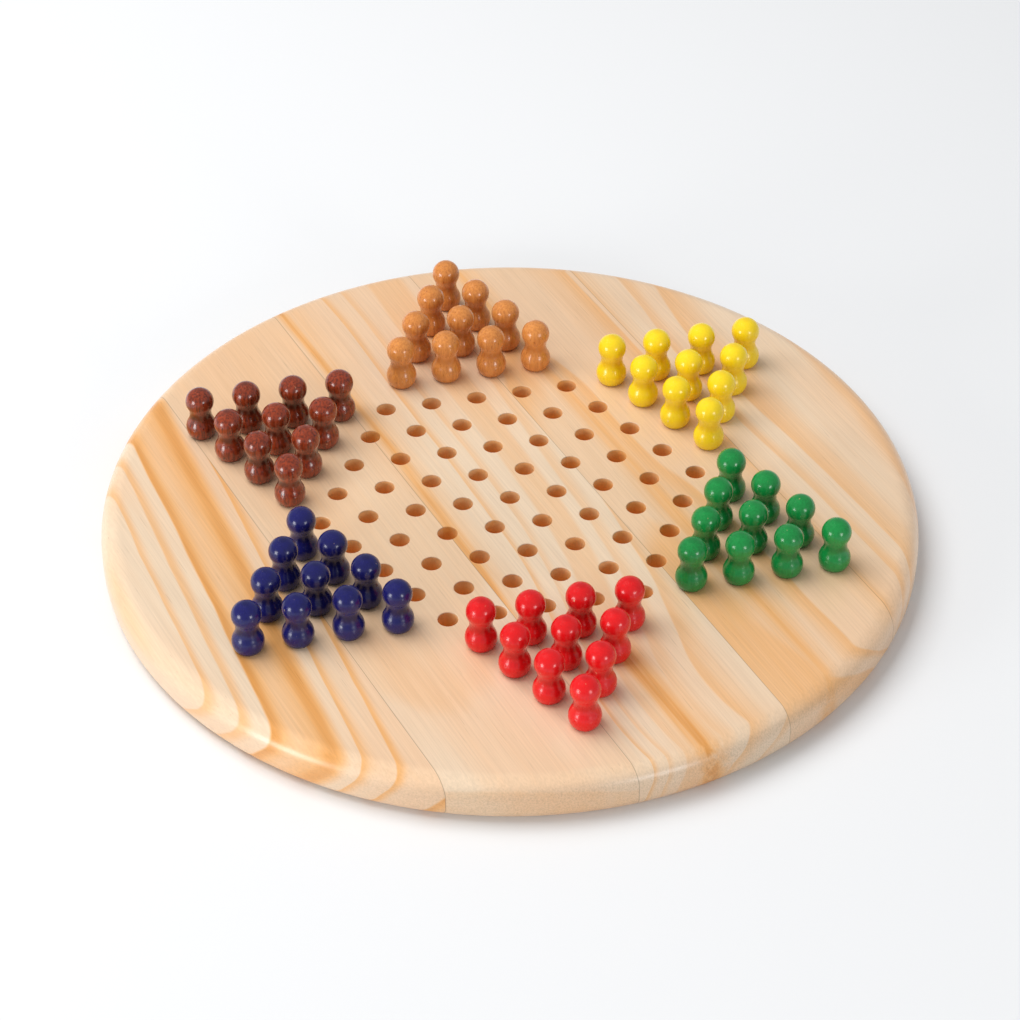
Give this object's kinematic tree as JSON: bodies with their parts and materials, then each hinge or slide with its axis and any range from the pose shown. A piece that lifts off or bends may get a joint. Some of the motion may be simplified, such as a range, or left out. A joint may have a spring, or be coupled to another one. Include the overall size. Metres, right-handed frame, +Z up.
{
  "type": "chinese checkers board",
  "caption": "Round pine game board, edge-glued from staves, with a star of blind peg holes and turned wooden pegs in six colours that lift out of its points.",
  "frame": {"origin": "middle of the disc, on its flat underside", "axes": "+Z up out of the playing face; +X along the rows of holes; +Y towards the yellow point of the star"},
  "size_m": [0.29, 0.29, 0.0361],
  "materials": {
    "pine": "satin clear lacquer over pale pine",
    "yellow_lacquer": "glossy opaque yellow lacquer",
    "orange_lacquer": "glossy natural orange-brown stain",
    "brown_lacquer": "glossy mahogany-brown stain",
    "blue_lacquer": "glossy opaque navy-blue lacquer",
    "red_lacquer": "glossy opaque red lacquer",
    "green_lacquer": "glossy opaque green lacquer"
  },
  "bodies": {
    "board": {"stave_1": "pine", "stave_2": "pine", "stave_3": "pine", "stave_4": "pine", "stave_5": "pine"},
    "yellow_peg_1": {"yellow_peg_1": "yellow_lacquer"},
    "yellow_peg_2": {"yellow_peg_2": "yellow_lacquer"},
    "yellow_peg_3": {"yellow_peg_3": "yellow_lacquer"},
    "yellow_peg_4": {"yellow_peg_4": "yellow_lacquer"},
    "yellow_peg_5": {"yellow_peg_5": "yellow_lacquer"},
    "yellow_peg_6": {"yellow_peg_6": "yellow_lacquer"},
    "yellow_peg_7": {"yellow_peg_7": "yellow_lacquer"},
    "yellow_peg_pair_8_9": {"yellow_peg_pair_8_9": "yellow_lacquer"},
    "yellow_peg_10": {"yellow_peg_10": "yellow_lacquer"},
    "orange_peg_1": {"orange_peg_1": "orange_lacquer"},
    "orange_peg_2": {"orange_peg_2": "orange_lacquer"},
    "orange_peg_3": {"orange_peg_3": "orange_lacquer"},
    "orange_peg_4": {"orange_peg_4": "orange_lacquer"},
    "orange_peg_5": {"orange_peg_5": "orange_lacquer"},
    "orange_peg_6": {"orange_peg_6": "orange_lacquer"},
    "orange_peg_7": {"orange_peg_7": "orange_lacquer"},
    "orange_peg_pair_8_9": {"orange_peg_pair_8_9": "orange_lacquer"},
    "orange_peg_10": {"orange_peg_10": "orange_lacquer"},
    "brown_peg_1": {"brown_peg_1": "brown_lacquer"},
    "brown_peg_2": {"brown_peg_2": "brown_lacquer"},
    "brown_peg_3": {"brown_peg_3": "brown_lacquer"},
    "brown_peg_4": {"brown_peg_4": "brown_lacquer"},
    "brown_peg_5": {"brown_peg_5": "brown_lacquer"},
    "brown_peg_6": {"brown_peg_6": "brown_lacquer"},
    "brown_peg_7": {"brown_peg_7": "brown_lacquer"},
    "brown_peg_pair_8_9": {"brown_peg_pair_8_9": "brown_lacquer"},
    "brown_peg_10": {"brown_peg_10": "brown_lacquer"},
    "blue_peg_1": {"blue_peg_1": "blue_lacquer"},
    "blue_peg_2": {"blue_peg_2": "blue_lacquer"},
    "blue_peg_3": {"blue_peg_3": "blue_lacquer"},
    "blue_peg_4": {"blue_peg_4": "blue_lacquer"},
    "blue_peg_5": {"blue_peg_5": "blue_lacquer"},
    "blue_peg_6": {"blue_peg_6": "blue_lacquer"},
    "blue_peg_7": {"blue_peg_7": "blue_lacquer"},
    "blue_peg_pair_8_9": {"blue_peg_pair_8_9": "blue_lacquer"},
    "blue_peg_10": {"blue_peg_10": "blue_lacquer"},
    "red_peg_1": {"red_peg_1": "red_lacquer"},
    "red_peg_2": {"red_peg_2": "red_lacquer"},
    "red_peg_3": {"red_peg_3": "red_lacquer"},
    "red_peg_4": {"red_peg_4": "red_lacquer"},
    "red_peg_5": {"red_peg_5": "red_lacquer"},
    "red_peg_6": {"red_peg_6": "red_lacquer"},
    "red_peg_7": {"red_peg_7": "red_lacquer"},
    "red_peg_pair_8_9": {"red_peg_pair_8_9": "red_lacquer"},
    "red_peg_10": {"red_peg_10": "red_lacquer"},
    "green_peg_1": {"green_peg_1": "green_lacquer"},
    "green_peg_2": {"green_peg_2": "green_lacquer"},
    "green_peg_3": {"green_peg_3": "green_lacquer"},
    "green_peg_4": {"green_peg_4": "green_lacquer"},
    "green_peg_5": {"green_peg_5": "green_lacquer"},
    "green_peg_6": {"green_peg_6": "green_lacquer"},
    "green_peg_7": {"green_peg_7": "green_lacquer"},
    "green_peg_pair_8_9": {"green_peg_pair_8_9": "green_lacquer"},
    "green_peg_10": {"green_peg_10": "green_lacquer"}
  },
  "joints": [
    {"name": "blue_peg_pair_8_9_lift", "type": "slide", "parent": "board", "child": "blue_peg_pair_8_9", "axis": [0, 0, 1], "range_m": [0, 0.036]},
    {"name": "red_peg_pair_8_9_lift", "type": "slide", "parent": "board", "child": "red_peg_pair_8_9", "axis": [0, 0, 1], "range_m": [0, 0.036]},
    {"name": "green_peg_pair_8_9_lift", "type": "slide", "parent": "board", "child": "green_peg_pair_8_9", "axis": [0, 0, 1], "range_m": [0, 0.036]},
    {"name": "yellow_peg_pair_8_9_lift", "type": "slide", "parent": "board", "child": "yellow_peg_pair_8_9", "axis": [0, 0, 1], "range_m": [0, 0.036]},
    {"name": "orange_peg_pair_8_9_lift", "type": "slide", "parent": "board", "child": "orange_peg_pair_8_9", "axis": [0, 0, 1], "range_m": [0, 0.036]},
    {"name": "brown_peg_pair_8_9_lift", "type": "slide", "parent": "board", "child": "brown_peg_pair_8_9", "axis": [0, 0, 1], "range_m": [0, 0.036]},
    {"name": "blue_peg_1_lift", "type": "slide", "parent": "board", "child": "blue_peg_1", "axis": [0, 0, 1], "range_m": [0, 0.036]},
    {"name": "red_peg_1_lift", "type": "slide", "parent": "board", "child": "red_peg_1", "axis": [0, 0, 1], "range_m": [0, 0.036]},
    {"name": "green_peg_1_lift", "type": "slide", "parent": "board", "child": "green_peg_1", "axis": [0, 0, 1], "range_m": [0, 0.036]},
    {"name": "yellow_peg_1_lift", "type": "slide", "parent": "board", "child": "yellow_peg_1", "axis": [0, 0, 1], "range_m": [0, 0.036]},
    {"name": "orange_peg_1_lift", "type": "slide", "parent": "board", "child": "orange_peg_1", "axis": [0, 0, 1], "range_m": [0, 0.036]},
    {"name": "brown_peg_1_lift", "type": "slide", "parent": "board", "child": "brown_peg_1", "axis": [0, 0, 1], "range_m": [0, 0.036]},
    {"name": "blue_peg_10_lift", "type": "slide", "parent": "board", "child": "blue_peg_10", "axis": [0, 0, 1], "range_m": [0, 0.036]},
    {"name": "red_peg_10_lift", "type": "slide", "parent": "board", "child": "red_peg_10", "axis": [0, 0, 1], "range_m": [0, 0.036]},
    {"name": "green_peg_10_lift", "type": "slide", "parent": "board", "child": "green_peg_10", "axis": [0, 0, 1], "range_m": [0, 0.036]},
    {"name": "yellow_peg_10_lift", "type": "slide", "parent": "board", "child": "yellow_peg_10", "axis": [0, 0, 1], "range_m": [0, 0.036]},
    {"name": "orange_peg_10_lift", "type": "slide", "parent": "board", "child": "orange_peg_10", "axis": [0, 0, 1], "range_m": [0, 0.036]},
    {"name": "brown_peg_10_lift", "type": "slide", "parent": "board", "child": "brown_peg_10", "axis": [0, 0, 1], "range_m": [0, 0.036]},
    {"name": "blue_peg_4_lift", "type": "slide", "parent": "board", "child": "blue_peg_4", "axis": [0, 0, 1], "range_m": [0, 0.036]},
    {"name": "red_peg_4_lift", "type": "slide", "parent": "board", "child": "red_peg_4", "axis": [0, 0, 1], "range_m": [0, 0.036]},
    {"name": "green_peg_4_lift", "type": "slide", "parent": "board", "child": "green_peg_4", "axis": [0, 0, 1], "range_m": [0, 0.036]},
    {"name": "yellow_peg_4_lift", "type": "slide", "parent": "board", "child": "yellow_peg_4", "axis": [0, 0, 1], "range_m": [0, 0.036]},
    {"name": "orange_peg_4_lift", "type": "slide", "parent": "board", "child": "orange_peg_4", "axis": [0, 0, 1], "range_m": [0, 0.036]},
    {"name": "brown_peg_4_lift", "type": "slide", "parent": "board", "child": "brown_peg_4", "axis": [0, 0, 1], "range_m": [0, 0.036]},
    {"name": "blue_peg_7_lift", "type": "slide", "parent": "board", "child": "blue_peg_7", "axis": [0, 0, 1], "range_m": [0, 0.036]},
    {"name": "red_peg_7_lift", "type": "slide", "parent": "board", "child": "red_peg_7", "axis": [0, 0, 1], "range_m": [0, 0.036]},
    {"name": "green_peg_7_lift", "type": "slide", "parent": "board", "child": "green_peg_7", "axis": [0, 0, 1], "range_m": [0, 0.036]},
    {"name": "yellow_peg_7_lift", "type": "slide", "parent": "board", "child": "yellow_peg_7", "axis": [0, 0, 1], "range_m": [0, 0.036]},
    {"name": "orange_peg_7_lift", "type": "slide", "parent": "board", "child": "orange_peg_7", "axis": [0, 0, 1], "range_m": [0, 0.036]},
    {"name": "brown_peg_7_lift", "type": "slide", "parent": "board", "child": "brown_peg_7", "axis": [0, 0, 1], "range_m": [0, 0.036]},
    {"name": "blue_peg_2_lift", "type": "slide", "parent": "board", "child": "blue_peg_2", "axis": [0, 0, 1], "range_m": [0, 0.036]},
    {"name": "red_peg_2_lift", "type": "slide", "parent": "board", "child": "red_peg_2", "axis": [0, 0, 1], "range_m": [0, 0.036]},
    {"name": "green_peg_2_lift", "type": "slide", "parent": "board", "child": "green_peg_2", "axis": [0, 0, 1], "range_m": [0, 0.036]},
    {"name": "yellow_peg_2_lift", "type": "slide", "parent": "board", "child": "yellow_peg_2", "axis": [0, 0, 1], "range_m": [0, 0.036]},
    {"name": "orange_peg_2_lift", "type": "slide", "parent": "board", "child": "orange_peg_2", "axis": [0, 0, 1], "range_m": [0, 0.036]},
    {"name": "brown_peg_2_lift", "type": "slide", "parent": "board", "child": "brown_peg_2", "axis": [0, 0, 1], "range_m": [0, 0.036]},
    {"name": "blue_peg_3_lift", "type": "slide", "parent": "board", "child": "blue_peg_3", "axis": [0, 0, 1], "range_m": [0, 0.036]},
    {"name": "red_peg_3_lift", "type": "slide", "parent": "board", "child": "red_peg_3", "axis": [0, 0, 1], "range_m": [0, 0.036]},
    {"name": "green_peg_3_lift", "type": "slide", "parent": "board", "child": "green_peg_3", "axis": [0, 0, 1], "range_m": [0, 0.036]},
    {"name": "yellow_peg_3_lift", "type": "slide", "parent": "board", "child": "yellow_peg_3", "axis": [0, 0, 1], "range_m": [0, 0.036]},
    {"name": "orange_peg_3_lift", "type": "slide", "parent": "board", "child": "orange_peg_3", "axis": [0, 0, 1], "range_m": [0, 0.036]},
    {"name": "brown_peg_3_lift", "type": "slide", "parent": "board", "child": "brown_peg_3", "axis": [0, 0, 1], "range_m": [0, 0.036]},
    {"name": "blue_peg_5_lift", "type": "slide", "parent": "board", "child": "blue_peg_5", "axis": [0, 0, 1], "range_m": [0, 0.036]},
    {"name": "red_peg_5_lift", "type": "slide", "parent": "board", "child": "red_peg_5", "axis": [0, 0, 1], "range_m": [0, 0.036]},
    {"name": "green_peg_5_lift", "type": "slide", "parent": "board", "child": "green_peg_5", "axis": [0, 0, 1], "range_m": [0, 0.036]},
    {"name": "yellow_peg_5_lift", "type": "slide", "parent": "board", "child": "yellow_peg_5", "axis": [0, 0, 1], "range_m": [0, 0.036]},
    {"name": "orange_peg_5_lift", "type": "slide", "parent": "board", "child": "orange_peg_5", "axis": [0, 0, 1], "range_m": [0, 0.036]},
    {"name": "brown_peg_5_lift", "type": "slide", "parent": "board", "child": "brown_peg_5", "axis": [0, 0, 1], "range_m": [0, 0.036]},
    {"name": "blue_peg_6_lift", "type": "slide", "parent": "board", "child": "blue_peg_6", "axis": [0, 0, 1], "range_m": [0, 0.036]},
    {"name": "red_peg_6_lift", "type": "slide", "parent": "board", "child": "red_peg_6", "axis": [0, 0, 1], "range_m": [0, 0.036]},
    {"name": "green_peg_6_lift", "type": "slide", "parent": "board", "child": "green_peg_6", "axis": [0, 0, 1], "range_m": [0, 0.036]},
    {"name": "yellow_peg_6_lift", "type": "slide", "parent": "board", "child": "yellow_peg_6", "axis": [0, 0, 1], "range_m": [0, 0.036]},
    {"name": "orange_peg_6_lift", "type": "slide", "parent": "board", "child": "orange_peg_6", "axis": [0, 0, 1], "range_m": [0, 0.036]},
    {"name": "brown_peg_6_lift", "type": "slide", "parent": "board", "child": "brown_peg_6", "axis": [0, 0, 1], "range_m": [0, 0.036]}
  ]
}
